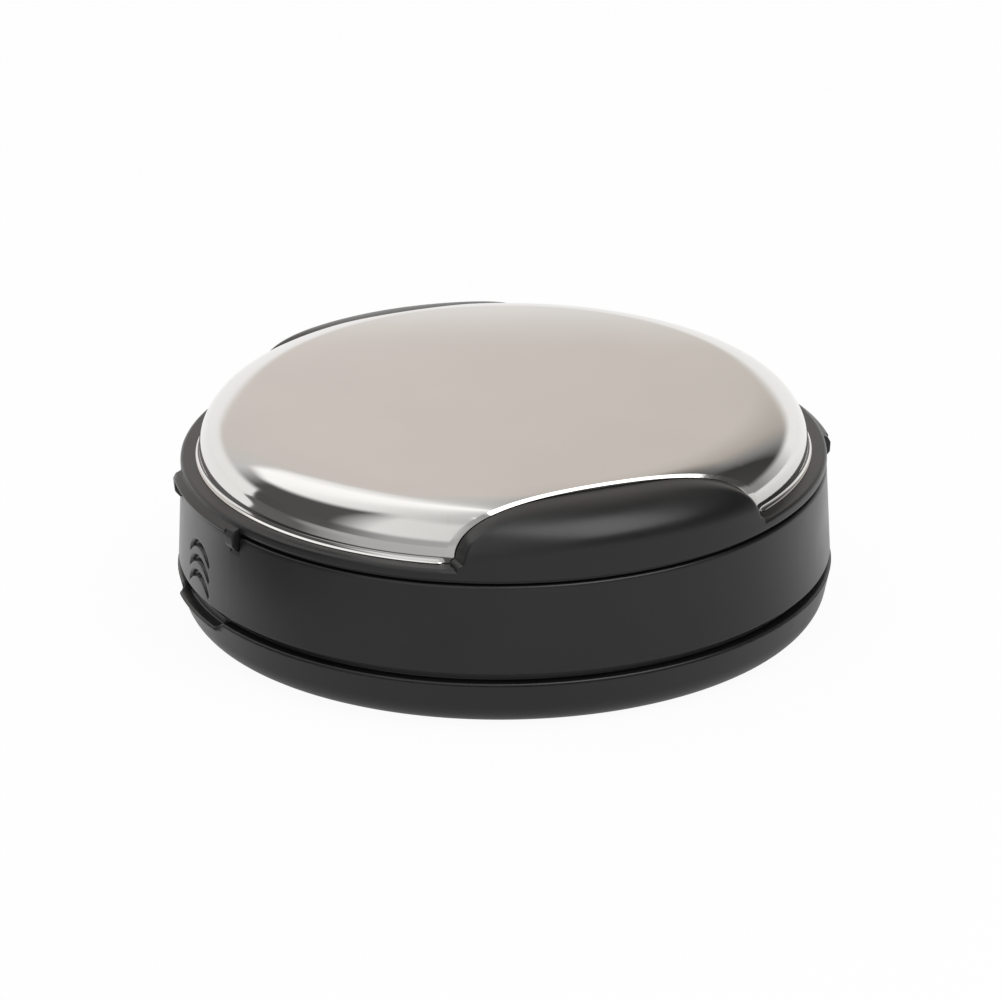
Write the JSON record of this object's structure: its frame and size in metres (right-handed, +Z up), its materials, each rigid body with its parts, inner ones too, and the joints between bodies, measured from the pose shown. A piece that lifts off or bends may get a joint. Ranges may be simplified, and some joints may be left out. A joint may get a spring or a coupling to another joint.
{
  "type": "pocket stamp",
  "caption": "Flat round pocket stamp: a sprung press shell with a rubber die slides in a black ring over an ink pad in the base cover, under a domed cap of polished steel.",
  "frame": {"origin": "middle of the flat face under the base cover", "axes": "+Z up along the axis of the press stroke; -Y towards the cap's front cut-out; +X and -X towards the side lips"},
  "size_m": [0.0586, 0.058, 0.0204],
  "materials": {
    "black_abs": "satin moulded black",
    "grey_plastic": "plain moulded dark grey",
    "felt": "ink-soaked felt",
    "pad_cloth": "ink-soaked woven cloth",
    "spring_steel": "bright drawn steel",
    "foam": "fine foam rubber",
    "die_rubber": "laser-cut rubber",
    "tape": "double-sided film tape",
    "cap_steel": "polished stainless sheet"
  },
  "bodies": {
    "base": {"base_cover": "black_abs", "ink_pad_tray": "grey_plastic", "ink_pad_felt": "felt", "ink_pad_cloth": "pad_cloth"},
    "housing": {"body_ring": "black_abs", "spring_frame": "grey_plastic", "return_spring_1": "spring_steel", "return_spring_2": "spring_steel", "return_spring_3": "spring_steel", "return_spring_4": "spring_steel"},
    "plunger": {"press_shell": "black_abs", "die_holder": "grey_plastic", "holder_screws": "spring_steel", "die_cushion": "foam", "rubber_die": "die_rubber", "cap_tape": "tape", "steel_cap": "cap_steel"}
  },
  "joints": [
    {"name": "housing_lift", "type": "slide", "parent": "base", "child": "housing", "axis": [0, 0, 1], "range_m": [0, 0.03]},
    {"name": "press_slide", "type": "slide", "parent": "housing", "child": "plunger", "axis": [0, 0, 1], "range_m": [0, 0.0045], "deforming": ["return_spring_1", "return_spring_2", "return_spring_3", "return_spring_4"]}
  ]
}
